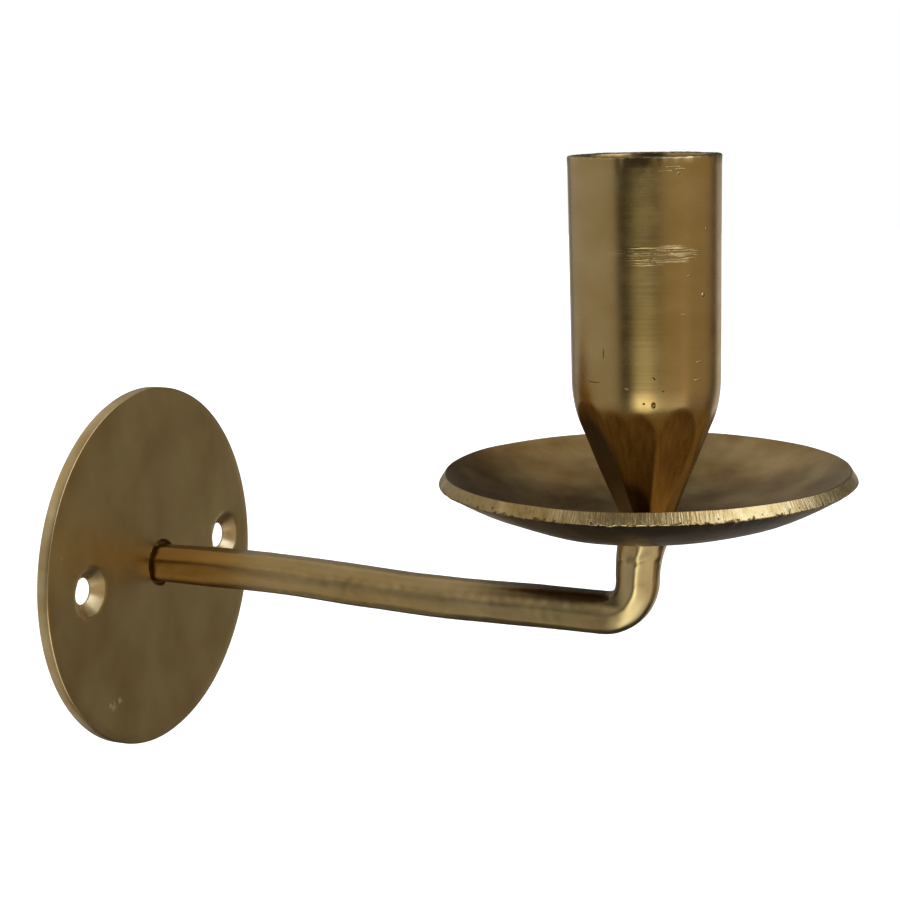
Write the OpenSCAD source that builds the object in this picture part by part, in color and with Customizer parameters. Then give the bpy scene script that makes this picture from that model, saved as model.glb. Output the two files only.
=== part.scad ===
// Wall sconce for one dinner candle. A round plate screws to the wall, a forged bar reaches out
// from it and turns up, and a dished drip pan and a tapered candle cup stand on the bar's end.
// Origin: middle of the bar's end at the wall. -Y points into the room, +Z is up.

/* [Wall plate] */
// Diameter of the wall plate
plate_d = 75; // [60:0.5:110]
// Thickness of the wall plate
plate_t = 2.5; // [1.5:0.1:5]
// Sideways offset of the disc's centre from the bar
plate_shift = -2.1; // [-4:0.1:4]
// Distance from the disc's edge in to each wall screw's centre
screw_inset = 12.1; // [9:0.1:18]
// Diameter of the hole for a wall screw
screw_hole_d = 5.4; // [4:0.1:6.5]
// Diameter of the countersink at the plate's face
sink_d = 10.4; // [8:0.1:12]
// Straight wall left behind the countersink
sink_land = 0.4; // [0.2:0.1:1]
// How much wider the hole for the bar is than the bar
eye_clearance = 2.2; // [1.5:0.1:4]
// Depth of the braze that fills that hole from behind
braze_t = 1.6; // [0.8:0.1:2.2]

/* [Arm] */
// Reach from the wall to the candle's centre line
reach = 111.2; // [85:0.1:200]
// Height from the bar's centre at the wall up to the drip pan
rise = 15.1; // [14:0.1:80]
// Thickness of the bar at the wall
bar_wall = 7.5; // [6:0.1:8]
// Thickness of the bar through the elbow
bar_elbow = 8.2; // [7:0.1:10]
// Diameter of the flared seat at the top of the bar
seat_d = 10.6; // [9:0.1:14]
// Bend radius of the elbow on the bar's centre line
bend_r = 7.1; // [5.5:0.1:9]
// How far the bar drops between the wall and the elbow
bar_drop = 1.9; // [0:0.1:4]
// How far the bar leans out between the elbow and the seat
lean = 2; // [0:0.1:2.5]
// Squareness of the bar at the wall, where 2 is round
wall_square = 3.2; // [2:0.1:4]
// Squareness of the bar through the elbow, where 2 is round
elbow_square = 2.3; // [2:0.1:4]

/* [Drip pan] */
// Diameter of the drip pan, across the lower edge of its rim
pan_d = 78.3; // [60:0.1:120]
// Thickness of the drip pan
pan_t = 2.4; // [1.5:0.1:4]
// Slope of the drip pan at its rim, in degrees
pan_angle = 33; // [20:1:50]
// Diameter of the flat middle that the cup stands on
pan_flat_d = 12; // [11:0.5:20]

/* [Candle cup] */
// Diameter of the candle
candle_d = 22; // [18:0.5:30]
// Clearance on the candle's diameter
candle_clearance = 1; // [0.5:0.1:2]
// Wall of the cup just above its shoulder
cup_wall = 2.35; // [1.5:0.05:4]
// How much wider the cup is at its rim than at its shoulder
rim_spread = 0.6; // [0:0.1:2]
// Height of the cup
cup_h = 67.9; // [50:0.1:110]
// Height of the tapered part, up to the shoulder
cone_h = 22; // [18:0.5:35]
// Diameter of the cup's foot
foot_d = 10.5; // [9.5:0.1:14]
// Solid thickness of the cup's foot
foot_t = 4.5; // [4:0.1:8]
// Wall of the tapered part
cone_wall = 2.4; // [1.5:0.1:2.8]
// Radius that rounds the shoulder
shoulder_r = 24; // [6:1:40]

/* [Cup screw] */
// Thread diameter of the screw that holds the cup and the pan
thread_d = 4; // [3:0.5:4]
// Length of the screw under its head
thread_len = 12; // [10:1:13]
// Diameter of the screw's head
head_d = 7; // [5.5:0.1:8]
// Height of the screw's head
head_h = 2.6; // [2:0.1:4]
// Width of the screwdriver slot
slot_w = 1.2; // [0.8:0.1:1.6]
// Depth of the screwdriver slot
slot_t = 1.2; // [0.6:0.1:1.4]
// Clearance on the screw's diameter through the foot and the pan
screw_clearance = 0.4; // [0.2:0.1:0.8]
// Spare depth of the tapped hole past the screw's tip
tap_spare = 1; // [0.5:0.1:1.5]

/* [Hidden] */
$fn = 96;
over = 1;
plate_color = "#7a643c";
arm_color = "#8a7142";
braze_color = "#5e4c2c";
pan_color = "#7d6639";
cup_color = "#86703f";
screw_color = "#a08a55";
screw_spacing = plate_d - 2 * screw_inset;
eye_d = bar_wall + eye_clearance;
sink_slope = (sink_d - screw_hole_d) / (plate_t - sink_land);
bar_len = reach - lean - bend_r;
elbow_z = bend_r - bar_drop;
upright_h = rise - elbow_z;
drop_from = 0.2 * bar_len;
drop_to = 0.73 * bar_len;
bar_steps = 12;
elbow_steps = 6;
upright_steps = 5;
section_sides = 20;
pan_flat_r = pan_flat_d / 2;
dish_r = (pan_d / 2 - pan_flat_r) / sin(pan_angle);
bore_d = candle_d + candle_clearance;
shoulder_d = bore_d + 2 * cup_wall;
rim_d = shoulder_d + rim_spread;
cone_angle = atan((shoulder_d - foot_d) / 2 / cone_h);
tube_angle = atan(rim_spread / 2 / (cup_h - cone_h));
shoulder_run = shoulder_r * tan((cone_angle - tube_angle) / 2);
shoulder_steps = 10;
floor_r = inner_cone_r(foot_t);
bore_floor = (bore_d - foot_d + 2 * cone_wall / cos(cone_angle)) / 2 / tan(cone_angle);
screw_hole = thread_d + screw_clearance;
tap_depth = thread_len - foot_t - pan_t + tap_spare;
tip_chamfer = 0.5;
head_chamfer = 0.3;

// A share of a run, easing in and out from 0 to 1
function ease(t) = (1 - cos(180 * max(0, min(1, t)))) / 2;
function mix(a, b, t) = a + (b - a) * t;
function inner_cone_r(h) = foot_d / 2 + h * tan(cone_angle) - cone_wall / cos(cone_angle);

// A station is the section's centre in Y and Z, its heading, its thickness and its squareness.
// Heading 0 runs out from the wall and heading 90 runs up.
function bar_z(along) = -bar_drop * ease((along - drop_from) / (drop_to - drop_from));
function bar_station(t) = [
    -t * bar_len,
    bar_z(t * bar_len),
    0,
    mix(bar_wall, bar_elbow, ease(t)),
    mix(wall_square, elbow_square, ease(t))
];
function elbow_station(t) = [
    -bar_len - bend_r * sin(90 * t),
    elbow_z - bend_r * cos(90 * t),
    90 * t,
    bar_elbow,
    elbow_square
];
function upright_station(t) = [
    -bar_len - bend_r - lean * t * t,
    elbow_z + upright_h * t,
    90,
    mix(bar_elbow, seat_d, t * t),
    mix(elbow_square, 2, t)
];
stations = [
    for (i = [0 : bar_steps]) bar_station(i / bar_steps),
    for (i = [1 : elbow_steps]) elbow_station(i / elbow_steps),
    for (i = [1 : upright_steps]) upright_station(i / upright_steps)
];

// One ring of the bar's skin: a rounded square that lies across the station's heading
function corner_share(a, n) = pow(pow(abs(cos(a)), n) + pow(abs(sin(a)), n), -1 / n);
function ring_point(s, a) =
    let (r = s[3] / 2 * corner_share(a, s[4]), side = r * cos(a), out = r * sin(a))
    [side, s[0] + out * sin(s[2]), s[1] + out * cos(s[2])];
function ring(s) = [for (k = [0 : section_sides - 1]) ring_point(s, 360 * k / section_sides)];

module bar_skin() {
    last = len(stations) - 1;
    wall_end = [for (k = [0 : section_sides - 1]) k];
    top_end = [for (k = [section_sides - 1 : -1 : 0]) last * section_sides + k];
    skin = [
        for (i = [0 : last - 1], k = [0 : section_sides - 1])
            let (a = i * section_sides, b = a + section_sides, next = (k + 1) % section_sides)
            [a + k, b + k, b + next, a + next]
    ];
    polyhedron(points = [for (s = stations) each ring(s)], faces = concat([wall_end, top_end], skin));
}

// A countersunk hole from the plate's face through to the wall
module wall_screw_hole() {
    rotate([90, 0, 0]) {
        translate([0, 0, -over])
            cylinder(d = screw_hole_d, h = plate_t + 2 * over);
        translate([0, 0, sink_land])
            cylinder(
                d1 = screw_hole_d,
                d2 = sink_d + over * sink_slope,
                h = plate_t - sink_land + over
            );
    }
}

module wall_plate() {
    color(plate_color)
        difference() {
            translate([plate_shift, 0, 0])
                rotate([90, 0, 0])
                    cylinder(d = plate_d, h = plate_t);
            translate([0, over, 0])
                rotate([90, 0, 0])
                    cylinder(d = eye_d, h = plate_t + 2 * over);
            for (side = [-1, 1])
                translate([side * screw_spacing / 2, 0, 0])
                    wall_screw_hole();
        }
}

// The braze runs in round the bar from behind and stops short of the plate's face
module arm_braze() {
    color(braze_color)
        difference() {
            rotate([90, 0, 0])
                cylinder(d = eye_d, h = braze_t);
            bar_skin();
        }
}

// The bar, with the tapped hole for the cup's screw in its upturned end
module arm() {
    color(arm_color)
        difference() {
            bar_skin();
            translate([0, -reach, rise - tap_depth])
                cylinder(d = thread_d, h = tap_depth + over);
        }
}

// Half of the pan's section: a flat middle, then an arc of even thickness cut square at the rim
module pan_section() {
    square([pan_flat_r, pan_t]);
    translate([pan_flat_r, dish_r])
        intersection() {
            difference() {
                circle(r = dish_r);
                circle(r = dish_r - pan_t);
            }
            polygon([
                [0, 0],
                [0, -dish_r - over],
                [(dish_r + over) * tan(pan_angle), -dish_r - over]
            ]);
        }
}

module drip_pan() {
    color(pan_color)
        translate([0, -reach, rise])
            difference() {
                rotate_extrude()
                    pan_section();
                translate([0, 0, -over])
                    cylinder(d = screw_hole, h = pan_t + 2 * over);
            }
}

// The rounded shoulder meets the taper and the tube in line, so its centre lies square to both
function shoulder_centre() =
    [shoulder_d / 2, cone_h]
    - shoulder_run * [sin(cone_angle), cos(cone_angle)]
    + shoulder_r * [-cos(cone_angle), sin(cone_angle)];
function shoulder_point(t) =
    let (a = -mix(cone_angle, tube_angle, t))
    shoulder_centre() + shoulder_r * [cos(a), sin(a)];

module candle_cup() {
    color(cup_color)
        translate([0, -reach, rise + pan_t])
            rotate_extrude()
                polygon([
                    [screw_hole / 2, 0],
                    [foot_d / 2, 0],
                    for (i = [0 : shoulder_steps]) shoulder_point(i / shoulder_steps),
                    [rim_d / 2, cup_h],
                    [bore_d / 2, cup_h],
                    [bore_d / 2, bore_floor],
                    [floor_r, foot_t],
                    [screw_hole / 2, foot_t]
                ]);
}

// A slotted cheese-head screw. Its thread is drawn as a plain shank of the thread's diameter.
module cup_screw() {
    color(screw_color)
        translate([0, -reach, rise + pan_t + foot_t])
            difference() {
                rotate_extrude()
                    polygon([
                        [0, -thread_len],
                        [thread_d / 2 - tip_chamfer, -thread_len],
                        [thread_d / 2, tip_chamfer - thread_len],
                        [thread_d / 2, 0],
                        [head_d / 2, 0],
                        [head_d / 2, head_h - head_chamfer],
                        [head_d / 2 - head_chamfer, head_h],
                        [0, head_h]
                    ]);
                translate([-head_d / 2 - over, -slot_w / 2, head_h - slot_t])
                    cube([head_d + 2 * over, slot_w, slot_t + over]);
            }
}

wall_plate();
arm_braze();
arm();
drip_pan();
candle_cup();
cup_screw();
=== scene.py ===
"""A forged brass wall sconce for one dinner candle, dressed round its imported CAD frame.

The order below is the order of assembly: the wall plate, the bar and its braze, the drip pan,
the candle cup and the screw that holds them. Sizes are in millimetres until they reach a mesh.
"""

import math

import bmesh
import bpy
import numpy as np
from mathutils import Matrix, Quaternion, Vector, noise


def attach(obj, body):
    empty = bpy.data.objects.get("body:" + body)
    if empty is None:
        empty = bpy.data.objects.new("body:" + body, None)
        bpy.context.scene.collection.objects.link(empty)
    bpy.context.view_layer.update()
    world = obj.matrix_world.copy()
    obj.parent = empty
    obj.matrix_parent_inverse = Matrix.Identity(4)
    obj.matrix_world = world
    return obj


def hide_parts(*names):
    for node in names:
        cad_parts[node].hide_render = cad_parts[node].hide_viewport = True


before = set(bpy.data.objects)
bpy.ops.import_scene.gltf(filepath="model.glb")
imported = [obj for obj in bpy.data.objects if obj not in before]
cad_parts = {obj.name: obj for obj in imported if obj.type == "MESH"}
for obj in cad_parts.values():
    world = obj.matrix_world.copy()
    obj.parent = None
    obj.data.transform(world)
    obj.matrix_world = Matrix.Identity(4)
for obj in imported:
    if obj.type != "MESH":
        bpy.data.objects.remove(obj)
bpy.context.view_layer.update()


# ---- Camera --------------------------------------------------------------------------------
# A short telephoto lens at arm's length, a little above the bar, looking along the wall.
# The plate is at the left, and the bar comes forward and to the right.
MM = 0.001
AIM = Vector((0, -85.66, 38.77)) * MM
BEARING = math.radians(-67.28)
LOOK_DOWN = math.radians(9.36)
TILT = math.radians(-1.12)
DISTANCE = 359.6 * MM

away = Vector((
    math.sin(BEARING) * math.cos(LOOK_DOWN),
    -math.cos(BEARING) * math.cos(LOOK_DOWN),
    math.sin(LOOK_DOWN),
))
bpy.ops.object.camera_add(location=AIM + away * DISTANCE)
camera = bpy.context.object
camera.name = "camera"
camera.rotation_mode = "QUATERNION"
camera.rotation_quaternion = (-away).to_track_quat("-Z", "Y") @ Quaternion((0, 0, 1), TILT)
camera.data.lens = 74.9
camera.data.shift_x = -0.078
camera.data.shift_y = -0.056
camera.data.clip_start = 0.01
bpy.context.scene.camera = camera
bpy.context.scene.view_settings.view_transform = "Standard"


# ---- Room and light ------------------------------------------------------------------------
# A white sweep of paper that only the eye sees, and the soft panels that the metal sees: pale
# walls and ceiling, a white table below, and one window high on the right.
def add_node(tree, kind, options, inputs):
    """Adds a node, sets its options, and links or sets its input sockets."""
    node = tree.nodes.new(kind)
    for name, value in options.items():
        setattr(node, name, value)
    for key, value in inputs.items():
        if isinstance(value, bpy.types.NodeSocket):
            tree.links.new(value, node.inputs[key])
        else:
            node.inputs[key].default_value = value
    return node


def linear(code):
    """An sRGB hex colour as the linear colour that a shader takes."""
    parts = [int(code[i : i + 2], 16) / 255 for i in (1, 3, 5)]
    return [c / 12.92 if c <= 0.04045 else ((c + 0.055) / 1.055) ** 2.4 for c in parts] + [1.0]


# Each soft panel: its name, then its bearing in degrees right of the camera and half its width,
# its height in degrees above the horizon and half of that, its soft edge, brightness and colour
PANELS = [
    ("white wall on the left", -98, 52, 2, 33, 6, 0.40, "#edf4ff"),
    ("table on the left", -99, 49, -44, 15, 7, 0.35, "#ffffff"),
    ("table in front", -7, 18, -46, 27, 12, 1.76, "#eaf7ff"),
    ("table edge in front", -7, 16, -20, 8, 9, 1.14, "#f8ffee"),
    ("table front right", 38, 24, -46, 26, 7, 0.72, "#eaf1ff"),
    ("table edge on the right", 38, 26, -18, 8, 6, 0.28, "#fff2d8"),
    ("table on the right", 80, 26, -24, 16, 8, 0.18, "#ffe8dc"),
    ("wall on the right", 67, 50, 2, 12, 14, 0.32, "#ffefc8"),
    ("window on the right", 60, 33, 38, 20, 7, 2.25, "#d6e3ff"),
    ("ceiling in front", 10, 20, 56, 16, 8, 0.26, "#ffe4c0"),
    ("paper behind", 166, 34, -16, 16, 8, 0.56, "#ffffff"),
    ("wall behind on the left", -155, 25, 18, 13, 5, 0.20, "#ffffff"),
    ("ceiling behind on the right", 108, 18, 52, 20, 8, 0.90, "#e8efff"),
    ("ceiling behind", 148, 22, 56, 18, 7, 0.38, "#fffaf0"),
    ("ceiling on the left", -112, 62, 48, 19, 8, 0.40, "#ffffff"),
    ("ceiling overhead", 0, 180, 82, 12, 8, 0.40, "#e0eaff"),
]
GLOW = 0.04

world = bpy.data.worlds.new("studio")
bpy.context.scene.world = world
world.use_nodes = True
tree = world.node_tree
tree.nodes.clear()
direction = add_node(tree, "ShaderNodeTexCoord", {}, {}).outputs["Generated"]
parts = add_node(tree, "ShaderNodeSeparateXYZ", {}, {"Vector": direction}).outputs
to_room = add_node(tree, "ShaderNodeMath", {"operation": "MULTIPLY"}, {0: parts["Y"], 1: -1.0})
compass = add_node(
    tree, "ShaderNodeMath", {"operation": "ARCTAN2"}, {0: parts["X"], 1: to_room.outputs[0]}
)
height = add_node(tree, "ShaderNodeMath", {"operation": "ARCSINE"}, {0: parts["Z"]})
total = (GLOW, GLOW, GLOW)
for name, bearing, half_width, lift, half_height, edge, brightness, colour in PANELS:
    spans = []
    for angle, centre, half in (
        (compass, BEARING + math.radians(bearing), half_width),
        (height, math.radians(lift), half_height),
    ):
        off = add_node(tree, "ShaderNodeMath", {"operation": "SUBTRACT"}, {0: angle.outputs[0], 1: centre})
        wrapped = add_node(
            tree, "ShaderNodeMath", {"operation": "WRAP"}, {0: off.outputs[0], 1: -math.pi, 2: math.pi}
        )
        size = add_node(tree, "ShaderNodeMath", {"operation": "ABSOLUTE"}, {0: wrapped.outputs[0]})
        span = add_node(
            tree,
            "ShaderNodeMapRange",
            {"interpolation_type": "SMOOTHSTEP"},
            {
                "Value": size.outputs[0],
                "From Min": math.radians(half + edge),
                "From Max": math.radians(half - edge),
                "To Min": 0.0,
                "To Max": 1.0,
            },
        )
        spans.append(span.outputs["Result"])
    shape = add_node(tree, "ShaderNodeMath", {"operation": "MULTIPLY"}, {0: spans[0], 1: spans[1]})
    tint = [brightness * c for c in linear(colour)[:3]]
    panel = add_node(
        tree, "ShaderNodeVectorMath", {"operation": "SCALE"}, {0: tint, "Scale": shape.outputs[0]}
    )
    total = add_node(
        tree, "ShaderNodeVectorMath", {"operation": "ADD"}, {0: panel.outputs["Vector"], 1: total}
    ).outputs["Vector"]
lit = add_node(tree, "ShaderNodeBackground", {}, {"Color": total, "Strength": 1.0})
paper = add_node(tree, "ShaderNodeBackground", {}, {"Color": (1, 1, 1, 1), "Strength": 1.0})
path = add_node(tree, "ShaderNodeLightPath", {}, {})
both = add_node(
    tree,
    "ShaderNodeMixShader",
    {},
    {0: path.outputs["Is Camera Ray"], 1: lit.outputs["Background"], 2: paper.outputs["Background"]},
)
add_node(tree, "ShaderNodeOutputWorld", {}, {"Surface": both.outputs["Shader"]})

FLOOR_DROP = 160
FLOOR_RADIUS = 3000
bpy.ops.object.select_all(action="DESELECT")
bpy.ops.mesh.primitive_circle_add(
    vertices=64, radius=FLOOR_RADIUS * MM, fill_type="NGON", location=(0, 0, -FLOOR_DROP * MM)
)
floor = bpy.context.object
floor.name = "floor"
floor.visible_glossy = False
floor.visible_diffuse = False
# Matt paper lit from behind: an even, near-white ground with no shadow on it
paper_white = bpy.data.materials.new("backlit white paper")
paper_white.use_nodes = True
shader = paper_white.node_tree.nodes["Principled BSDF"]
shader.inputs["Base Color"].default_value = linear("#f4f4f4")
shader.inputs["Emission Color"].default_value = linear("#ffffff")
shader.inputs["Emission Strength"].default_value = 0.97
shader.inputs["Specular IOR Level"].default_value = 0.0
floor.data.materials.append(paper_white)


# ---- Wall plate ----------------------------------------------------------------------------
# A disc sawn from rolled brass sheet, its edge filed round by hand and its face left a little
# uneven. Two countersunk holes take the wall screws, and an eye in the middle takes the bar.
PLATE_RADIUS = 37.5
PLATE_THICK = 2.5
PLATE_MIDDLE = -2.1
EYE_RADIUS = 4.85
HOLE_RADIUS = 2.7
HOLE_SPACING = 50.8
HOLE_LAND = 0.4
SINK_SLOPE = 1.19
FACE_EDGE_ROUND = 0.25
BACK_EDGE_ROUND = 0.15
FACE_RINGS = 18
RING_STEP = 1.95
ALONG_Y = (math.radians(90), 0, 0)


def start_piece(name):
    """Names the new primitive, puts its place in its mesh, and opens it for editing."""
    piece = bpy.context.object
    piece.name = name
    bpy.ops.object.transform_apply(location=True, rotation=True, scale=True)
    bpy.ops.object.mode_set(mode="EDIT")
    bpy.ops.mesh.select_mode(type="VERT")
    bpy.ops.mesh.select_all(action="SELECT")
    return piece


def pick(piece, kind, wanted):
    """In edit mode, selects the faces or edges whose middle (in mm) and direction pass."""
    bpy.ops.mesh.select_mode(type=kind)
    bpy.ops.mesh.select_all(action="DESELECT")
    shape = bmesh.from_edit_mesh(piece.data)
    shape.normal_update()
    if kind == "FACE":
        for face in shape.faces:
            face.select = bool(wanted(face.calc_center_median() / MM, face.normal))
    else:
        for edge in shape.edges:
            a, b = edge.verts
            edge.select = bool(wanted((a.co + b.co) / 2 / MM, (b.co - a.co).normalized()))
    shape.select_flush_mode()
    bmesh.update_edit_mesh(piece.data)


def finish_piece(piece, crease=35):
    """Closes the piece, turns its faces outwards and shades it smooth up to its creases."""
    if bpy.context.mode == "EDIT_MESH":
        bpy.ops.mesh.select_all(action="SELECT")
        bpy.ops.mesh.remove_doubles(threshold=0.002 * MM)
        bpy.ops.mesh.normals_make_consistent(inside=False)
        bpy.ops.object.mode_set(mode="OBJECT")
    bpy.ops.object.select_all(action="DESELECT")
    piece.select_set(True)
    bpy.context.view_layer.objects.active = piece
    bpy.ops.object.shade_smooth_by_angle(angle=math.radians(crease))


def points_of(piece):
    """The piece's points in mm, one row each."""
    points = np.empty(len(piece.data.vertices) * 3)
    piece.data.vertices.foreach_get("co", points)
    return points.reshape(-1, 3) / MM


def put_points(piece, points):
    piece.data.vertices.foreach_set("co", (points * MM).ravel())
    piece.data.update()


def unevenness(points, size, seed):
    """Soft random heights between about -1 and 1, in lumps of the given size in mm."""
    shift = Vector((seed * 17.3, seed * 5.1, seed * 9.7))
    return np.array([noise.noise(Vector(p / size) + shift) for p in points]) * 1.6


def cut_away(piece, cutter):
    """Cuts the cutter's shape out of the piece, and throws the cutter away."""
    bpy.ops.object.mode_set(mode="OBJECT")
    bpy.ops.object.select_all(action="DESELECT")
    piece.select_set(True)
    bpy.context.view_layer.objects.active = piece
    cut = piece.modifiers.new("cut", "BOOLEAN")
    cut.operation = "DIFFERENCE"
    cut.solver = "EXACT"
    cut.object = cutter
    bpy.ops.object.modifier_apply(modifier=cut.name)
    bpy.data.objects.remove(cutter, do_unlink=True)


GRAIN = 0.8


def brass(name, pale, dark, cloud, roughness, grain_height, stretch=(1, 1, 1)):
    """Brass toned by handling: two close tones in soft clouds, uneven gloss and a fine grain.

    The cloud size is in mm, and stretch draws the clouds and the grain out along an axis. The
    real grain is too fine to show, so it is drawn at GRAIN, in mm.
    """
    material = bpy.data.materials.new(name)
    material.use_nodes = True
    tree = material.node_tree
    shader = tree.nodes["Principled BSDF"]
    shader.inputs["Metallic"].default_value = 1.0
    place = add_node(tree, "ShaderNodeTexCoord", {}, {}).outputs["Object"]
    drawn = add_node(tree, "ShaderNodeMapping", {}, {"Vector": place, "Scale": stretch}).outputs[0]
    clouds = add_node(
        tree,
        "ShaderNodeTexNoise",
        {},
        {"Vector": drawn, "Scale": 1 / (cloud * MM), "Detail": 3.0, "Roughness": 0.5},
    )
    spread = add_node(
        tree, "ShaderNodeMapRange", {}, {"Value": clouds.outputs["Fac"], "From Min": 0.3, "From Max": 0.7}
    )
    tone = add_node(
        tree,
        "ShaderNodeMix",
        {"data_type": "RGBA"},
        {"Factor": spread.outputs["Result"], 6: linear(dark), 7: linear(pale)},
    )
    smears = add_node(
        tree,
        "ShaderNodeTexNoise",
        {},
        {"Vector": drawn, "Scale": 1 / (0.35 * cloud * MM), "Detail": 4.0, "Roughness": 0.6},
    )
    gloss = add_node(
        tree,
        "ShaderNodeMapRange",
        {},
        {
            "Value": smears.outputs["Fac"],
            "From Min": 0.3,
            "From Max": 0.7,
            "To Min": roughness - 0.04,
            "To Max": roughness + 0.05,
        },
    )
    grain = add_node(
        tree,
        "ShaderNodeTexNoise",
        {},
        {"Vector": drawn, "Scale": 1 / (GRAIN * MM), "Detail": 1.0, "Roughness": 0.5},
    )
    relief = add_node(
        tree,
        "ShaderNodeBump",
        {},
        {"Height": grain.outputs["Fac"], "Distance": grain_height * MM, "Strength": 1.0},
    )
    tree.links.new(tone.outputs[2], shader.inputs["Base Color"])
    tree.links.new(gloss.outputs["Result"], shader.inputs["Roughness"])
    tree.links.new(relief.outputs["Normal"], shader.inputs["Normal"])
    return material


def cover(material, where, colour):
    """Lays another tone over the material where the mask is 1."""
    shader = material.node_tree.nodes["Principled BSDF"]
    under = shader.inputs["Base Color"].links[0].from_socket
    tone = add_node(
        material.node_tree,
        "ShaderNodeMix",
        {"data_type": "RGBA"},
        {"Factor": where, 6: under, 7: linear(colour)},
    )
    material.node_tree.links.new(tone.outputs[2], shader.inputs["Base Color"])


def carve(material, height, depth):
    """Adds to the relief: where the height rises by 1, the surface rises by depth in mm."""
    shader = material.node_tree.nodes["Principled BSDF"]
    relief = add_node(
        material.node_tree,
        "ShaderNodeBump",
        {},
        {
            "Height": height,
            "Distance": depth * MM,
            "Strength": 1.0,
            "Normal": shader.inputs["Normal"].links[0].from_socket,
        },
    )
    material.node_tree.links.new(relief.outputs["Normal"], shader.inputs["Normal"])


def fit(piece, node, slot, *materials):
    """The piece stands for its CAD node, rides with the fixed body and takes its finishes."""
    for material in materials:
        piece.data.materials.append(material)
    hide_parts(node)
    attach(piece, "root")


bpy.ops.object.select_all(action="DESELECT")
bpy.ops.mesh.primitive_cylinder_add(
    vertices=192,
    radius=PLATE_RADIUS * MM,
    depth=PLATE_THICK * MM,
    location=(PLATE_MIDDLE * MM, -PLATE_THICK / 2 * MM, 0),
    rotation=ALONG_Y,
)
plate = start_piece("plate_sheet")
pick(plate, "EDGE", lambda at, way: at.y < -PLATE_THICK + 0.01)
bpy.ops.mesh.bevel(offset=FACE_EDGE_ROUND * MM, segments=3, affect="EDGES")
pick(plate, "EDGE", lambda at, way: at.y > -0.01)
bpy.ops.mesh.bevel(offset=BACK_EDGE_ROUND * MM, segments=2, affect="EDGES")
pick(plate, "FACE", lambda at, way: way.y < -0.999)
for ring in range(FACE_RINGS):
    bpy.ops.mesh.inset(thickness=RING_STEP * MM)
cutters = [(0, ((EYE_RADIUS, 1), (EYE_RADIUS, -2.3), (EYE_RADIUS + 1.0, -3.3)))]
for side in (-1, 1):
    lip = HOLE_RADIUS + (PLATE_THICK - 0.2 - HOLE_LAND) * SINK_SLOPE
    outline = (
        (HOLE_RADIUS, 1),
        (HOLE_RADIUS, -HOLE_LAND),
        (lip, -PLATE_THICK + 0.2),
        (lip + 3.0, -PLATE_THICK - 0.8),
    )
    cutters.append((side * HOLE_SPACING / 2, outline))
for x, outline in cutters:
    bpy.ops.object.mode_set(mode="OBJECT")
    bpy.ops.object.select_all(action="DESELECT")
    bpy.ops.mesh.primitive_circle_add(
        vertices=96,
        radius=outline[0][0] * MM,
        fill_type="NGON",
        location=(x * MM, outline[0][1] * MM, 0),
        rotation=ALONG_Y,
    )
    cutter = start_piece("cutter")
    for (r0, y0), (r1, y1) in zip(outline, outline[1:]):
        bpy.ops.mesh.extrude_region_move(TRANSFORM_OT_translate={"value": (0, (y1 - y0) * MM, 0)})
        k = r1 / r0
        bpy.ops.transform.resize(value=(k, 1, k), center_override=(x * MM, y1 * MM, 0))
    bpy.ops.mesh.select_all(action="SELECT")
    bpy.ops.mesh.normals_make_consistent(inside=False)
    bpy.ops.object.mode_set(mode="OBJECT")
    if x:
        # The countersink bit chattered, so the cone has nine shallow waves round it
        points = points_of(cutter)
        around = np.arctan2(points[:, 2], points[:, 0] - x)
        out = np.hypot(points[:, 2], points[:, 0] - x)
        wave = 1 + np.where(out > HOLE_RADIUS + 0.1, 0.012 * np.sin(9 * around + x), 0)
        points[:, 0] = x + (points[:, 0] - x) * wave
        points[:, 2] *= wave
        put_points(cutter, points)
    cut_away(plate, cutter)
points = points_of(plate)
from_middle = np.hypot(points[:, 0] - PLATE_MIDDLE, points[:, 2])
face = (points[:, 1] < -PLATE_THICK + 0.05) & (from_middle < PLATE_RADIUS - 0.3)
sway = 0.10 * unevenness(points * (1, 0, 0.7), 14, 1) + 0.03 * unevenness(points, 6, 2)
points[:, 1] += np.where(face, np.clip((PLATE_RADIUS - from_middle) / 6, 0, 1) * sway, 0)
hand_cut = 1 + 0.0025 * unevenness(points * (1, 0, 1), 18, 3) * (from_middle > PLATE_RADIUS - 0.5)
points[:, 0] = PLATE_MIDDLE + (points[:, 0] - PLATE_MIDDLE) * hand_cut
points[:, 2] *= hand_cut
put_points(plate, points)
finish_piece(plate)

# Rolled sheet brass gone olive brown: a satin face with cloudy stains drawn out up and down
stained = brass("rolled sheet brass, browned", "#c9ae74", "#b09158", 14, 0.42, 0.002, (1, 1, 0.8))
# Fresh brass off the file, paler than the face, with the file's strokes running round the edge
filed_edge = brass("filed edge of the sheet", "#ecd09a", "#d8b476", 5, 0.36, 0.006)
# A pale bruise in the face, low down, where something sharp has struck it
place = add_node(stained.node_tree, "ShaderNodeTexCoord", {}, {}).outputs["Object"]
for x, z, size in ((-19.6, -25.5, 1.3), (-17.4, -25.0, 0.9), (-20.8, -25.0, 0.7), (-34.3, 9.0, 0.35)):
    apart = add_node(
        stained.node_tree,
        "ShaderNodeVectorMath",
        {"operation": "DISTANCE"},
        {0: place, 1: Vector((x, -PLATE_THICK, z)) * MM},
    )
    bruise = add_node(
        stained.node_tree,
        "ShaderNodeMapRange",
        {},
        {"Value": apart.outputs["Value"], "From Min": size * MM, "From Max": 0.2 * size * MM},
    )
    cover(stained, bruise.outputs["Result"], "#d6be8a")
    carve(stained, bruise.outputs["Result"], -0.12)
fit(plate, "wall_plate", "plate_brass", stained, filed_edge)
for face in plate.data.polygons:
    middle = face.center / MM
    in_eye = math.hypot(middle.x, middle.z) < 6
    face.material_index = int(abs(face.normal.y) < 0.85 and not in_eye)


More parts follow.
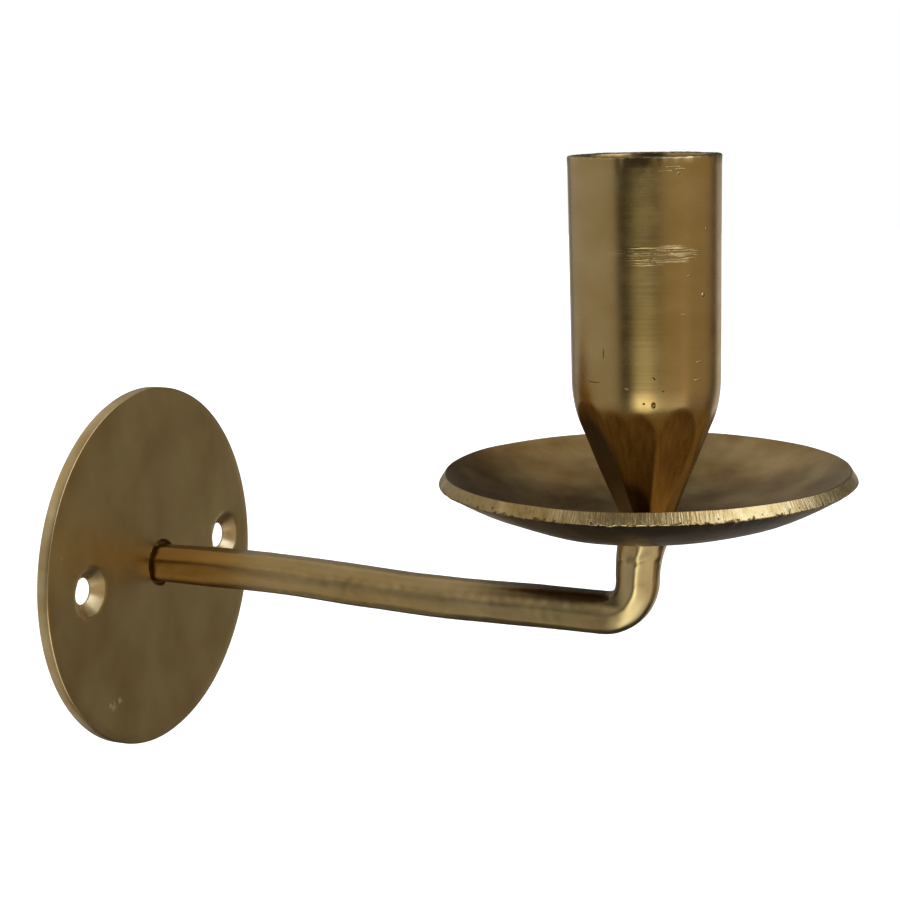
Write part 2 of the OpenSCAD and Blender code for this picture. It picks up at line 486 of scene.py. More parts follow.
# ---- Braze round the bar -------------------------------------------------------------------
# The bar is brazed into the plate's eye from behind. The filler is dull and lumpy, and stops
# short of the face, so a dark groove shows round the bar.
BRAZE_RADIUS = EYE_RADIUS + 0.03

bpy.ops.object.select_all(action="DESELECT")
bpy.ops.mesh.primitive_circle_add(
    vertices=64, radius=BRAZE_RADIUS * MM, fill_type="NOTHING", location=(0, 0, 0), rotation=ALONG_Y
)
braze = start_piece("braze_fillet")
braze_outline = (
    (BRAZE_RADIUS, 0),
    (BRAZE_RADIUS, -1.75),
    (4.75, -1.72),
    (4.5, -1.55),
    (4.2, -1.45),
    (3.9, -1.55),
    (3.6, -1.7),
    (3.4, -1.75),
    (3.3, 0),
    (BRAZE_RADIUS, 0),
)
for (r0, y0), (r1, y1) in zip(braze_outline, braze_outline[1:]):
    bpy.ops.mesh.extrude_region_move(TRANSFORM_OT_translate={"value": (0, (y1 - y0) * MM, 0)})
    bpy.ops.transform.resize(value=(r1 / r0, 1, r1 / r0), center_override=(0, y1 * MM, 0))
finish_piece(braze, 50)
points = points_of(braze)
points[:, 1] += np.where(points[:, 1] < -0.5, 0.16 * unevenness(points, 1.6, 5), 0)
put_points(braze, points)

# Silicon-bronze filler: coarse, dull and darker than the bar
fit(
    braze,
    "arm_braze",
    "braze",
    brass("dull brazing filler", "#a3824c", "#75592c", 2.5, 0.5, 0.03),
)


# ---- Arm -----------------------------------------------------------------------------------
# One length of round brass bar, forged nearly square at the wall, with a broad hammered bevel
# along its upper left, then bent up hot and upset at its end into a flared seat for the pan.
BAR_LENGTH = 102.1
BAR_DROP = 1.9
DROP_FROM = 0.2 * BAR_LENGTH
DROP_TO = 0.73 * BAR_LENGTH
BEND_RADIUS = 7.1
ELBOW_LENGTH = BEND_RADIUS * math.pi / 2
UPRIGHT = 9.9
LEAN = 2.0
STRAIGHT_LENGTH = BAR_LENGTH + ELBOW_LENGTH + UPRIGHT
BAR_RADIUS = 4.28
SEAT_RADIUS = 5.3
BAR_RINGS = 110


def forge_flat(points, marks, soft):
    """Hammers a flat along a straight bar that runs out along -Y.

    Each mark is a place along the bar, the flat's bearing round the bar (0 faces -X, 90 faces up)
    and its distance from the bar's middle. Soft is how rounded its edges stay. All are in mm.
    """
    along = -points[:, 1]
    places, bearings, depths = zip(*marks)
    bearing = np.radians(np.interp(along, places, bearings))
    depth = np.interp(along, places, depths)
    face_x = -np.cos(bearing)
    face_z = np.sin(bearing)
    proud = points[:, 0] * face_x + points[:, 2] * face_z - depth
    pressed = -soft * np.logaddexp(0, -proud / soft)
    points[:, 0] += (pressed - proud) * face_x
    points[:, 2] += (pressed - proud) * face_z


bpy.ops.object.select_all(action="DESELECT")
bpy.ops.mesh.primitive_circle_add(
    vertices=40, radius=BAR_RADIUS * MM, fill_type="NGON", location=(0, 0, 0), rotation=ALONG_Y
)
arm = start_piece("forged_bar")
radius = BAR_RADIUS
for ring in range(1, BAR_RINGS + 1):
    along = STRAIGHT_LENGTH * ring / BAR_RINGS
    bpy.ops.mesh.extrude_region_move(
        TRANSFORM_OT_translate={"value": (0, -STRAIGHT_LENGTH / BAR_RINGS * MM, 0)}
    )
    up = max(0.0, (along - BAR_LENGTH - ELBOW_LENGTH) / UPRIGHT)
    wanted = BAR_RADIUS + (SEAT_RADIUS - BAR_RADIUS) * up * up
    k = wanted / radius
    bpy.ops.transform.resize(value=(k, 1, k), center_override=(0, -along * MM, 0))
    radius = wanted
pick(arm, "EDGE", lambda at, way: at.y > -0.01 or at.y < -STRAIGHT_LENGTH + 0.01)
bpy.ops.mesh.bevel(offset=0.2 * MM, segments=2, affect="EDGES")
bpy.ops.object.mode_set(mode="OBJECT")
smooth = arm.modifiers.new("smooth", "SUBSURF")
smooth.levels = smooth.render_levels = 1
bpy.ops.object.modifier_apply(modifier=smooth.name)
points = points_of(arm)
end = STRAIGHT_LENGTH
# The hidden side, the top and the underside, then the side in view and the bevel above it
for bearing, middle, elbow in ((180, 4.0, 4.08), (90, 4.12, 4.15), (-90, 4.08, 4.1)):
    forge_flat(
        points,
        [(0, bearing, 3.75), (50, bearing, middle), (95, bearing, elbow)]
        + [(113, bearing, 4.15), (end, bearing, 5.6)],
        0.14,
    )
forge_flat(
    points,
    [(0, 0, 3.75), (12, -1, 3.85), (27, -4, 4.55), (62, -8, 4.5), (86, -8, 3.95), (102, -12, 3.88)]
    + [(113, -32, 3.86), (119, -33, 4.1), (end, -33, 5.1)],
    0.15,
)
forge_flat(
    points,
    [(0, 45, 3.8), (12, 44, 3.9), (27, 40, 4.55), (60, 34, 4.5), (84, 29, 4.0), (100, 24, 3.9)]
    + [(106, 14, 3.95), (113, 4, 3.98), (119, 3, 4.2), (end, 3, 5.3)],
    0.15,
)
forge_flat(points, [(0, 135, 3.95), (40, 135, 4.1), (110, 140, 4.1), (end, 140, 5.6)], 0.1)
forge_flat(points, [(0, 225, 4.0), (60, 228, 4.05), (110, 225, 4.1), (end, 225, 5.6)], 0.1)
out = np.maximum(np.hypot(points[:, 0], points[:, 2]), 0.01)
inside = (points[:, 1] < -0.5) & (points[:, 1] > -STRAIGHT_LENGTH + 0.3)
stroke = 0.07 * unevenness(points * (1, 0.35, 1), 3.4, 7) + 0.02 * unevenness(points, 1.5, 8)
# The upset metal folded a little under the seat, in a crease that runs part of the way round
bearing = np.degrees(np.arctan2(points[:, 2], -points[:, 0]))
fold_at = end - np.interp(bearing, (-75, -50, -29, 0, 20, 40), (6.4, 4.6, 4.8, 5.8, 6.4, 6.0))
fold_depth = np.interp(
    bearing, (-100, -68, -45, -25, 5, 22, 45, 60), (0, 0.3, 0.05, 0.16, 0.2, 0.36, 0.2, 0)
)
fold = np.exp(-(((-points[:, 1] - fold_at) / 0.38) ** 2))
above = np.exp(-(((-points[:, 1] - fold_at - 1.3) / 0.8) ** 2))
stroke += fold_depth * (0.8 * above - fold)
points[:, 0] *= 1 + np.where(inside, stroke / out, 0)
points[:, 2] *= 1 + np.where(inside, stroke / out, 0)

# Bent at the anvil's edge: each place along the straight bar moves to its place on the curve
along = -points[:, 1]
turn = np.clip((along - BAR_LENGTH) / ELBOW_LENGTH, 0, 1) * math.pi / 2
up = np.clip((along - BAR_LENGTH - ELBOW_LENGTH) / UPRIGHT, 0, 1)
drop = BAR_DROP * (1 - np.cos(np.pi * np.clip((along - DROP_FROM) / (DROP_TO - DROP_FROM), 0, 1))) / 2
# The inside of the bend crowded up into a tight corner
inner = np.clip(points[:, 2] / BAR_RADIUS, 0, 1)
points[:, 2] -= 0.35 * inner * np.sin(2 * turn) ** 2
middle_y = -np.minimum(along, BAR_LENGTH) - BEND_RADIUS * np.sin(turn) - LEAN * up**2
middle_z = -drop + BEND_RADIUS * (1 - np.cos(turn)) + UPRIGHT * up
height = points[:, 2].copy()
points[:, 1] = middle_y + height * np.sin(turn)
points[:, 2] = middle_z + height * np.cos(turn)
put_points(arm, points)
finish_piece(arm, 60)

# Forged yellow brass, wire-brushed along its length: satin, and brighter than the sheet
brushed = brass("forged brass bar, brushed", "#e2c48a", "#c9a668", 9, 0.3, 0.002, (1, 0.4, 1))
# Browned next to the plate, where the brazing torch played on it
place = add_node(brushed.node_tree, "ShaderNodeTexCoord", {}, {}).outputs["Object"]
apart = add_node(brushed.node_tree, "ShaderNodeSeparateXYZ", {}, {"Vector": place})
heated = add_node(
    brushed.node_tree,
    "ShaderNodeMapRange",
    {"interpolation_type": "SMOOTHSTEP"},
    {"Value": apart.outputs["Y"], "From Min": -34 * MM, "From Max": -6 * MM, "To Max": 0.6},
)
cover(brushed, heated.outputs["Result"], "#7d5a34")
# Dark along the top from under the pan into the inside of the bend: partly scale left where no brush
# reaches, partly painted shade from the pan above
near_bend = add_node(
    brushed.node_tree,
    "ShaderNodeMapRange",
    {"interpolation_type": "SMOOTHSTEP"},
    {"Value": apart.outputs["Y"], "From Min": -66 * MM, "From Max": -92 * MM, "To Max": 0.85},
)
on_top = add_node(
    brushed.node_tree,
    "ShaderNodeMapRange",
    {"interpolation_type": "SMOOTHSTEP"},
    {"Value": apart.outputs["Z"], "From Min": -0.3 * MM, "From Max": 0.9 * MM},
)
before_bend = add_node(
    brushed.node_tree,
    "ShaderNodeMapRange",
    {"interpolation_type": "SMOOTHSTEP"},
    {"Value": apart.outputs["Y"], "From Min": -108.2 * MM, "From Max": -105.5 * MM},
)
along_top = add_node(
    brushed.node_tree,
    "ShaderNodeMath",
    {"operation": "MULTIPLY"},
    {0: near_bend.outputs[0], 1: on_top.outputs[0]},
)
scale_and_shade_under_pan = add_node(
    brushed.node_tree,
    "ShaderNodeMath",
    {"operation": "MULTIPLY"},
    {0: along_top.outputs[0], 1: before_bend.outputs[0]},
)
# The dark top is partly painted shade from the pan above
cover(brushed, scale_and_shade_under_pan.outputs[0], "#4d3d24")
fit(arm, "arm", "forged_brass", brushed)


# ---- Drip pan ------------------------------------------------------------------------------
# A disc dished by hand into a wooden hollow, so its face is gently uneven. The rim was cut with
# snips, then filed square and left bright, with a ragged burr along its lower edge.
AXIS = (0, -111.2, 0)
PAN_UNDER = 15.1
PAN_THICK = 2.4
PAN_FLAT = 6.0
DISH_RADIUS = 60.87
PAN_SLOPE = math.radians(33)
SCREW_WAY = 2.2
PAN_SIDES = 640
RIM_RADIUS = 39
RIM_INSIDE = 37.7
LOWER_EDGE = 39.15


def turned(name, sides, outline):
    """Extrudes a ring round the cup's axis through an outline of (radius, height), and closes it."""
    bpy.ops.object.select_all(action="DESELECT")
    bpy.ops.mesh.primitive_circle_add(
        vertices=sides,
        radius=outline[0][0] * MM,
        fill_type="NOTHING",
        location=(AXIS[0] * MM, AXIS[1] * MM, outline[0][1] * MM),
    )
    piece = start_piece(name)
    for (r0, z0), (r1, z1) in zip(outline, outline[1:] + outline[:1]):
        bpy.ops.mesh.extrude_region_move(TRANSFORM_OT_translate={"value": (0, 0, (z1 - z0) * MM)})
        k = r1 / r0
        bpy.ops.transform.resize(value=(k, k, 1), center_override=(AXIS[0] * MM, AXIS[1] * MM, z1 * MM))
    return piece


def dish_point(share, inset):
    """A point on the pan's curve, a share of the way out to the rim and so far in from its back."""
    angle = PAN_SLOPE * share
    r = DISH_RADIUS - inset
    return (PAN_FLAT + r * math.sin(angle), PAN_UNDER + DISH_RADIUS - r * math.cos(angle))


outline = [(SCREW_WAY, PAN_UNDER)]
outline += [dish_point(i / 16, 0) for i in range(17)]
outline += [dish_point(1.003, t) for t in (0.12, 0.4, 0.8, 1.2, 1.6, 2.0, 2.28)]
outline += [dish_point(1 - i / 24, PAN_THICK) for i in range(25)]
outline += [(SCREW_WAY, PAN_UNDER + PAN_THICK)]
pan = turned("dished_pan", PAN_SIDES, outline)
finish_piece(pan, 30)
points = points_of(pan)
out = np.hypot(points[:, 0], points[:, 1] - AXIS[1])
around = np.arctan2(points[:, 1] - AXIS[1], points[:, 0])
share = np.clip((out - 8) / 10, 0, 1) * np.interp(out, (28, 37), (1, 0.25))
sway = 0.28 * unevenness(points * (1, 1, 0.3), 15, 11) + 0.09 * unevenness(points * (1, 1, 0.3), 7, 12)
points[:, 2] += share * sway
round_rim = np.stack([np.cos(around), np.sin(around), 0 * around], axis=1)
rim = round_rim * RIM_RADIUS
wander = unevenness(rim, 9, 13)
ragged = np.maximum(0, unevenness(rim, 1.5, 14)) + 0.5 * np.maximum(0, unevenness(rim, 0.7, 15))
on_rim = out > RIM_INSIDE
low = on_rim & (np.abs(out - LOWER_EDGE) < 0.12)
ragged *= np.clip(0.5 + 0.7 * unevenness(rim, 6, 17), 0.05, 1)
k = np.where(on_rim, 0.08 * wander, 0) + np.where(low, 0.06 * ragged, 0)
points[:, 0] += np.cos(around) * k
points[:, 1] += np.sin(around) * k
points[:, 2] -= np.where(low, 0.28 * ragged, 0)
filed = 0.028 * unevenness(rim + points * (0, 0, 0.2), 0.45, 16)
points[:, 0] += np.where(on_rim, np.cos(around) * filed, 0)
points[:, 1] += np.where(on_rim, np.sin(around) * filed, 0)
put_points(pan, points)

# Bare brass off a coarse file: bright, with fine grooves across the rim and small dark nicks
FILE_PITCH = 0.42
bare = brass("filed bare brass", "#ecd296", "#cfac6a", 2.2, 0.34, 0.0)
tree = bare.node_tree
shader = tree.nodes["Principled BSDF"]
place = add_node(tree, "ShaderNodeTexCoord", {}, {}).outputs["Object"]
from_axis = add_node(
    tree, "ShaderNodeVectorMath", {"operation": "SUBTRACT"}, {0: place, 1: Vector(AXIS) * MM}
)
apart = add_node(tree, "ShaderNodeSeparateXYZ", {}, {"Vector": from_axis.outputs[0]})
bearing = add_node(
    tree, "ShaderNodeMath", {"operation": "ARCTAN2"}, {0: apart.outputs["X"], 1: apart.outputs["Y"]}
)
strokes = add_node(
    tree,
    "ShaderNodeMath",
    {"operation": "MULTIPLY"},
    {0: bearing.outputs[0], 1: RIM_RADIUS / FILE_PITCH},
)
drift = add_node(tree, "ShaderNodeMath", {"operation": "MULTIPLY"}, {0: apart.outputs["Z"], 1: 1 / (3 * MM)})
groove_place = add_node(tree, "ShaderNodeCombineXYZ", {}, {"X": strokes.outputs[0], "Y": drift.outputs[0]})
grooves = add_node(
    tree,
    "ShaderNodeTexNoise",
    {},
    {"Vector": groove_place.outputs[0], "Scale": 1.0, "Detail": 2.0, "Roughness": 0.6},
)
relief = add_node(
    tree, "ShaderNodeBump", {}, {"Height": grooves.outputs["Fac"], "Distance": 0.09 * MM, "Strength": 1.0}
)
tree.links.new(relief.outputs["Normal"], shader.inputs["Normal"])
# Dirt and torn metal along the lower edge, in short dark nicks
nick_place = add_node(
    tree, "ShaderNodeMapping", {}, {"Vector": groove_place.outputs[0], "Scale": (0.5, 4.0, 1)}
)
nicks = add_node(
    tree, "ShaderNodeTexNoise", {}, {"Vector": nick_place.outputs[0], "Scale": 1.0, "Detail": 3.0}
)
low_down = add_node(
    tree,
    "ShaderNodeMapRange",
    {},
    {
        "Value": apart.outputs["Z"],
        "From Min": 26.0 * MM,
        "From Max": 24.9 * MM,
        "To Min": -0.16,
        "To Max": 0.06,
    },
)
nicked = add_node(
    tree, "ShaderNodeMath", {"operation": "ADD"}, {0: nicks.outputs["Fac"], 1: low_down.outputs[0]}
)
torn = add_node(
    tree, "ShaderNodeMapRange", {}, {"Value": nicked.outputs[0], "From Min": 0.54, "From Max": 0.66}
)
stains = add_node(
    tree, "ShaderNodeTexNoise", {}, {"Vector": place, "Scale": 1 / (7 * MM), "Detail": 3.0}
)
# More of it on the side towards the wall
wall_side = add_node(
    tree,
    "ShaderNodeMapRange",
    {},
    {
        "Value": apart.outputs["Y"],
        "From Min": -16 * MM,
        "From Max": 18 * MM,
        "To Min": -0.2,
        "To Max": 0.17,
    },
)
stain = add_node(
    tree, "ShaderNodeMath", {"operation": "ADD"}, {0: stains.outputs["Fac"], 1: wall_side.outputs[0]}
)
stained_by = add_node(
    tree,
    "ShaderNodeMapRange",
    {},
    {"Value": stain.outputs[0], "From Min": 0.42, "From Max": 0.66, "To Max": 0.7},
)
cover(bare, stained_by.outputs["Result"], "#94743f")
cover(bare, torn.outputs["Result"], "#7d6130")
carve(bare, torn.outputs["Result"], -0.12)

# Sheet brass browned by wax and heat, glossier where it was rubbed
browned = brass("dished brass, browned", "#c7a971", "#997744", 9, 0.32, 0.002)
# The underside was never polished, so it is duller; its darker tones are painted shade on the faces that
# look down
dull = brass("dished brass, dull underside with painted shade", "#ab8d5c", "#856a40", 7, 0.4, 0.004)
fit(pan, "drip_pan", "pan_brass", browned, bare, dull)
rim_low = PAN_UNDER + DISH_RADIUS * (1 - math.cos(PAN_SLOPE))
# Faces that look down take the duller underside, whose darker tones are painted shade
for face in pan.data.polygons:
    middle = face.center / MM
    r = math.hypot(middle.x, middle.y - AXIS[1])
    outward = face.normal.x * middle.x + face.normal.y * (middle.y - AXIS[1])
    if r > 37.6 and outward > 0.35 * r and middle.z > rim_low - 0.35:
        face.material_index = 1
    elif face.normal.z < 0:
        face.material_index = 2


# ---- Candle cup ----------------------------------------------------------------------------
# Heavy brass tube, drawn down to a cone over a swage, which left long flats with rounded tops.
# Its mouth is sawn and rough, and bright where candles have worn it.
CUP_FOOT = 17.5
FOOT_RADIUS = 5.25
CONE_HEIGHT = 22.0
CUP_HEIGHT = 67.9
SHOULDER_RADIUS = 13.85
MOUTH_RADIUS = 14.15
BORE_RADIUS = 11.5
FLOOR_THICK = 4.5
FLOOR_RADIUS = 4.43
BORE_FLOOR = 22.6
SHOULDER_ROUND = 24.0
LIP_ROUND = 0.35
CONE_ANGLE = math.atan((SHOULDER_RADIUS - FOOT_RADIUS) / CONE_HEIGHT)
TUBE_ANGLE = math.atan((MOUTH_RADIUS - SHOULDER_RADIUS) / (CUP_HEIGHT - CONE_HEIGHT))
CUP_SIDES = 256

run = SHOULDER_ROUND * math.tan((CONE_ANGLE - TUBE_ANGLE) / 2)
middle_r = SHOULDER_RADIUS - run * math.sin(CONE_ANGLE) - SHOULDER_ROUND * math.cos(CONE_ANGLE)
middle_z = CONE_HEIGHT - run * math.cos(CONE_ANGLE) + SHOULDER_ROUND * math.sin(CONE_ANGLE)
shoulder = []
for i in range(19):
    a = -(CONE_ANGLE + (TUBE_ANGLE - CONE_ANGLE) * i / 18)
    shoulder.append((middle_r + SHOULDER_ROUND * math.cos(a), middle_z + SHOULDER_ROUND * math.sin(a)))
cone = [
    (FOOT_RADIUS + (shoulder[0][0] - FOOT_RADIUS) * i / 30, shoulder[0][1] * i / 30) for i in range(30)
]
tube = [
    (
        shoulder[-1][0] + (MOUTH_RADIUS - shoulder[-1][0]) * i / 24,
        shoulder[-1][1] + (CUP_HEIGHT - LIP_ROUND - shoulder[-1][1]) * i / 24,
    )
    for i in range(1, 25)
]
mouth = [
    (MOUTH_RADIUS - 0.08, CUP_HEIGHT - 0.12),
    (MOUTH_RADIUS - 0.3, CUP_HEIGHT),
    (MOUTH_RADIUS - 0.9, CUP_HEIGHT),
    (MOUTH_RADIUS - 1.5, CUP_HEIGHT),
    (BORE_RADIUS + 0.45, CUP_HEIGHT),
    (BORE_RADIUS + 0.1, CUP_HEIGHT - 0.2),
    (BORE_RADIUS, CUP_HEIGHT - 0.6),
]
bore_top = mouth[-1][1]
bore = [(BORE_RADIUS, bore_top + (BORE_FLOOR - bore_top) * i / 20) for i in range(1, 21)]
inner_cone = [
    (
        BORE_RADIUS + (FLOOR_RADIUS - BORE_RADIUS) * i / 12,
        BORE_FLOOR + (FLOOR_THICK - BORE_FLOOR) * i / 12,
    )
    for i in range(1, 13)
]
outline = [(SCREW_WAY, 0.0)] + cone + shoulder + tube + mouth + bore + inner_cone
outline += [(SCREW_WAY, FLOOR_THICK)]
cup = turned("candle_tube", CUP_SIDES, [(r, z + CUP_FOOT) for r, z in outline])
finish_piece(cup, 40)
points = points_of(cup)
rel = points - AXIS
out = np.hypot(rel[:, 0], rel[:, 1])
around = np.arctan2(rel[:, 1], rel[:, 0])
skin = out > np.interp(rel[:, 2] - CUP_FOOT, (0, CONE_HEIGHT, CUP_HEIGHT), (3.6, 12.6, 12.9))


FLAT_EDGE = 0.045


def swage_flat(points, among, bearing, height, depth, lean):
    """Presses a long flat into the cone.

    The bearing is in degrees to the right of the camera, the height is up the cone, the depth is
    below the cone's skin there, and lean is how far the flat's top tips in, in degrees. The
    flat's edges stay rounded by FLAT_EDGE. Heights and depths are in mm.
    """
    a = BEARING + math.radians(bearing)
    tilt = CONE_ANGLE - math.radians(lean)
    facing = np.array((math.sin(a) * math.cos(tilt), -math.cos(a) * math.cos(tilt), -math.sin(tilt)))
    r = FOOT_RADIUS + height * math.tan(CONE_ANGLE) - depth / math.cos(CONE_ANGLE)
    through = np.array((r * math.sin(a), AXIS[1] - r * math.cos(a), CUP_FOOT + height))
    proud = (points - through) @ facing
    pressed = -FLAT_EDGE * np.logaddexp(0, -proud / FLAT_EDGE)
    move = np.where(among, pressed - proud, 0)
    points += move[:, None] * facing


unpressed = points.copy()
for bearing, height, depth, lean in (
    (-60, 10, 1.0, -1.0),
    (-31, 9, 0.5, -0.7),
    (-11, 9, 0.55, -1.0),
    (24, 10, 0.8, -1.4),
    (70, 9, 0.4, -0.6),
    (100, 10, 0.5, 0.6),
    (131, 9, 0.4, 0.4),
    (168, 10, 0.6, 0.8),
    (206, 9, 0.4, 1.0),
    (250, 10, 0.5, 0.6),
):
    swage_flat(points, skin, bearing, height, depth, lean)
# Two last blows near the foot
swage_flat(points, skin, -14, 2, 0.8, -6.0)
pressed_in = np.linalg.norm(points - unpressed, axis=1)
last_blow = points.copy()
swage_flat(last_blow, skin, 46, 3, 0.9, -4.5)
# The last blow rubbed its own flat bright again
pressed_in *= np.where(np.linalg.norm(last_blow - points, axis=1) > 0.06, 0.02, 1)
points = last_blow
stroke = 0.05 * unevenness(points * (1, 1, 0.5), 3.5, 21)
in_cone = np.clip((CONE_HEIGHT + 1 - (rel[:, 2] - CUP_FOOT)) / 3, 0, 1)
stroke = stroke * in_cone + 0.035 * unevenness(points * (1, 1, 0.35), 9, 22)
points[:, 0] += np.where(skin, stroke * np.cos(around), 0)
points[:, 1] += np.where(skin, stroke * np.sin(around), 0)
# Saw marks and small bruises round the mouth
at_mouth = rel[:, 2] - CUP_FOOT > CUP_HEIGHT - 0.5
sawn = 0.1 * np.abs(unevenness(points, 1.3, 23)) + 0.06 * unevenness(points, 6, 24)
points[:, 2] -= np.where(at_mouth, sawn, 0)
k = np.where(at_mouth & (out > 13.4), 0.07 * unevenness(points, 1.1, 25), 0)
points[:, 0] += k * np.cos(around)
points[:, 1] += k * np.sin(around)
put_points(cup, points)
# How far each point was pressed in, kept for the material
FULLY_SWAGED = 0.09
swaged = cup.data.attributes.new("swaged", "FLOAT", "POINT")
swaged.data.foreach_set("value", np.clip(pressed_in / FULLY_SWAGED, 0, 1).astype(np.float32))

# Brass worn bare by candles: the brightest part, mottled where the saw left it rough
worn = brass("worn brass lip", "#ecd29a", "#b08e50", 1.6, 0.3, 0.03)
# Tube brass polished round and round, then handled: satin, warm, with fine marks across it
satin = brass("satin tube brass, handled", "#d2b074", "#bd9858", 10, 0.26, 0.0004, (0.5, 0.5, 1))
tree = satin.node_tree
place = add_node(tree, "ShaderNodeTexCoord", {}, {}).outputs["Object"]
# The skin laid out flat, in mm: how far round to the right of the front, and how high
to_front = add_node(
    tree,
    "ShaderNodeMapping",
    {"vector_type": "TEXTURE"},
    {"Vector": place, "Location": Vector(AXIS) * MM, "Rotation": (0, 0, BEARING)},
)
apart = add_node(tree, "ShaderNodeSeparateXYZ", {}, {"Vector": to_front.outputs[0]})
to_front_side = add_node(
    tree, "ShaderNodeMath", {"operation": "MULTIPLY"}, {0: apart.outputs["Y"], 1: -1.0}
)
bearing = add_node(
    tree, "ShaderNodeMath", {"operation": "ARCTAN2"}, {0: apart.outputs["X"], 1: to_front_side.outputs[0]}
)
across = add_node(
    tree, "ShaderNodeMath", {"operation": "MULTIPLY"}, {0: bearing.outputs[0], 1: MOUTH_RADIUS}
)
high = add_node(tree, "ShaderNodeMath", {"operation": "MULTIPLY"}, {0: apart.outputs["Z"], 1: 1 / MM})
skin_place = add_node(
    tree, "ShaderNodeCombineXYZ", {}, {"X": across.outputs[0], "Y": high.outputs[0]}
).outputs[0]


def patch(bearing, height, half_width, half_height, edge):
    """A mask on the cup's skin: 1 inside an oval that lies flat on it and 0 past its edge."""
    spot = add_node(
        tree,
        "ShaderNodeMapping",
        {"vector_type": "TEXTURE"},
        {
            "Vector": skin_place,
            "Location": (math.radians(bearing) * MOUTH_RADIUS, height, 0),
            "Scale": (half_width, half_height, 1),
        },
    )
    reach = add_node(tree, "ShaderNodeVectorMath", {"operation": "LENGTH"}, {0: spot.outputs[0]})
    mask = add_node(
        tree,
        "ShaderNodeMapRange",
        {"interpolation_type": "SMOOTHSTEP"},
        {"Value": reach.outputs["Value"], "From Min": 1.0, "From Max": 1.0 - edge},
    )
    return mask.outputs["Result"]


# Turning marks: very fine rings round the tube
ring_place = add_node(tree, "ShaderNodeMapping", {}, {"Vector": skin_place, "Scale": (0.05, 1.6, 1)})
rings = add_node(
    tree, "ShaderNodeTexNoise", {}, {"Vector": ring_place.outputs[0], "Scale": 1.0, "Detail": 2.0}
)
carve(satin, rings.outputs["Fac"], 0.006)
# One band of deeper scratches part of the way round, where the tube slipped in the vice
band_place = add_node(
    tree,
    "ShaderNodeMapping",
    {},
    {"Vector": skin_place, "Rotation": (0, 0, -0.04), "Scale": (0.09, 3.4, 1)},
)
band = add_node(
    tree, "ShaderNodeTexNoise", {}, {"Vector": band_place.outputs[0], "Scale": 1.0, "Detail": 2.0}
)
lines = add_node(
    tree, "ShaderNodeMapRange", {}, {"Value": band.outputs["Fac"], "From Min": 0.5, "From Max": 0.62}
)
slipped = add_node(
    tree,
    "ShaderNodeMath",
    {"operation": "MULTIPLY"},
    {0: lines.outputs["Result"], 1: patch(7, 68.1, 10.5, 2.2, 0.7)},
)
carve(satin, slipped.outputs[0], 0.09)
cover(satin, slipped.outputs[0], "#dcc084")
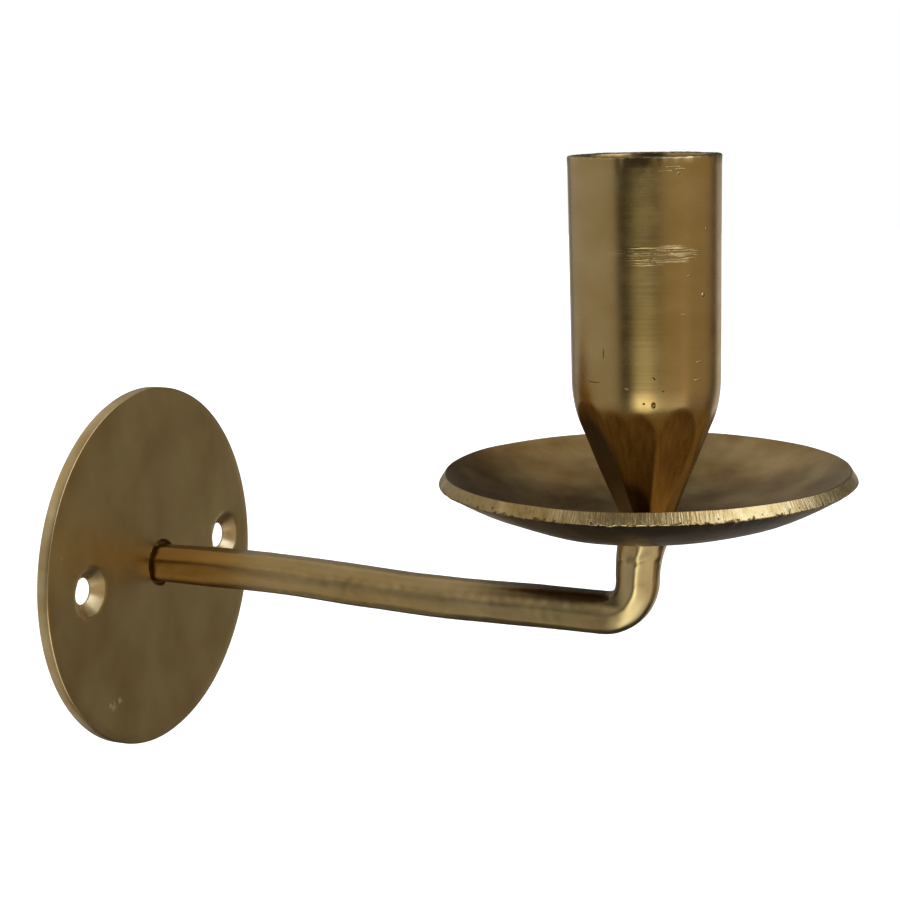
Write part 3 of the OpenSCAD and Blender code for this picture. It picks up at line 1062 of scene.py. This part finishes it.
# Bruises and short scratches: the bearing in degrees, then the height, half length, half height
# and depth in mm
for bearing_at, height_at, half_width, half_height, depth in (
    (-18.8, 44.1, 0.3, 0.3, 0.1),
    (-5.9, 41.4, 0.25, 0.25, -0.15),
    (1.4, 41.1, 0.5, 0.65, -0.16),
    (1.6, 46.0, 0.45, 0.3, -0.1),
    (8.5, 43.6, 0.3, 0.2, -0.1),
    (-37.3, 50.3, 0.16, 1.1, -0.2),
    (-47.6, 44.9, 2.3, 0.12, -0.1),
    (39.5, 48.4, 0.9, 0.14, 0.1),
    (38.0, 45.2, 1.0, 0.14, 0.1),
    (43.6, 60.5, 0.5, 0.4, 0.14),
    (29.9, 64.2, 0.5, 0.12, 0.1),
    (24.5, 57.3, 0.6, 0.12, 0.1),
    (46.9, 72.3, 0.25, 0.25, 0.1),
    (17.0, 83.6, 1.6, 0.10, 0.08),
    (22.5, 83.2, 1.1, 0.13, 0.1),
    (11.0, 82.9, 1.5, 0.08, 0.06),
    (20.8, 82.4, 0.35, 0.25, 0.14),
    (100.0, 60.0, 1.6, 0.14, 0.1),
    (150.0, 50.0, 0.5, 0.5, -0.14),
    (-120.0, 70.0, 2.6, 0.14, 0.1),
    (-160.0, 55.0, 0.4, 0.4, -0.14),
):
    mark = patch(bearing_at, height_at, half_width, half_height, 0.7)
    carve(satin, mark, depth)
    cover(satin, mark, "#dfc58c" if depth > 0 else "#8a6e3a")
# Darker towards the foot: partly a brown lacquer of wax and smoke that polishing never reached, partly
# painted shade where the cone stands in the pan
foot = add_node(
    tree,
    "ShaderNodeMapRange",
    {"interpolation_type": "SMOOTHSTEP"},
    {"Value": high.outputs[0], "From Min": CUP_FOOT + CONE_HEIGHT, "From Max": CUP_FOOT, "To Max": 0.55},
)
# The brown at the foot is partly painted shade from the pan
cover(satin, foot.outputs["Result"], "#6b4f2a")
# The pressed flats stayed brown: the polishing wheel rode over them
in_flats = add_node(
    tree, "ShaderNodeAttribute", {"attribute_type": "GEOMETRY", "attribute_name": "swaged"}, {}
)
streak_place = add_node(tree, "ShaderNodeMapping", {}, {"Vector": skin_place, "Scale": (0.9, 0.25, 1)})
streaks = add_node(
    tree, "ShaderNodeTexNoise", {}, {"Vector": streak_place.outputs[0], "Scale": 1.0, "Detail": 3.0}
)
uneven = add_node(
    tree,
    "ShaderNodeMapRange",
    {},
    {"Value": streaks.outputs["Fac"], "From Min": 0.35, "From Max": 0.65, "To Min": 0.3, "To Max": 0.75},
)
browned_by = add_node(
    tree,
    "ShaderNodeMath",
    {"operation": "MULTIPLY"},
    {0: in_flats.outputs["Fac"], 1: uneven.outputs["Result"]},
)
cover(satin, browned_by.outputs[0], "#8c673a")
# Painted shade low on the left of the cone: dark patches where the cone mirrors the dark inside of the pan
for bearing_at, height_at, half_width, half_height in ((-68, 24, 9.5, 17), (-32, 17, 11, 10)):
    painted_dark_reflection = patch(bearing_at, height_at, half_width, half_height, 0.3)
    cover(satin, painted_dark_reflection, "#553e20")
fit(cup, "candle_cup", "cup_brass", satin, worn)
for face in cup.data.polygons:
    face.material_index = int(face.center.z / MM > CUP_FOOT + CUP_HEIGHT - 0.28)


# ---- Cup screw -----------------------------------------------------------------------------
# A slotted cheese-head screw of turned brass, down inside the cup, that holds cup and pan to the
# bar. Its CAD shape is right, so it only gets its finish: bright turned brass.
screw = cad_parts["cup_screw"]
turned_brass = brass("turned brass screw", "#e0c283", "#cfae6e", 2, 0.24, 0.004)
screw.data.materials.clear()
screw.data.materials.append(turned_brass)
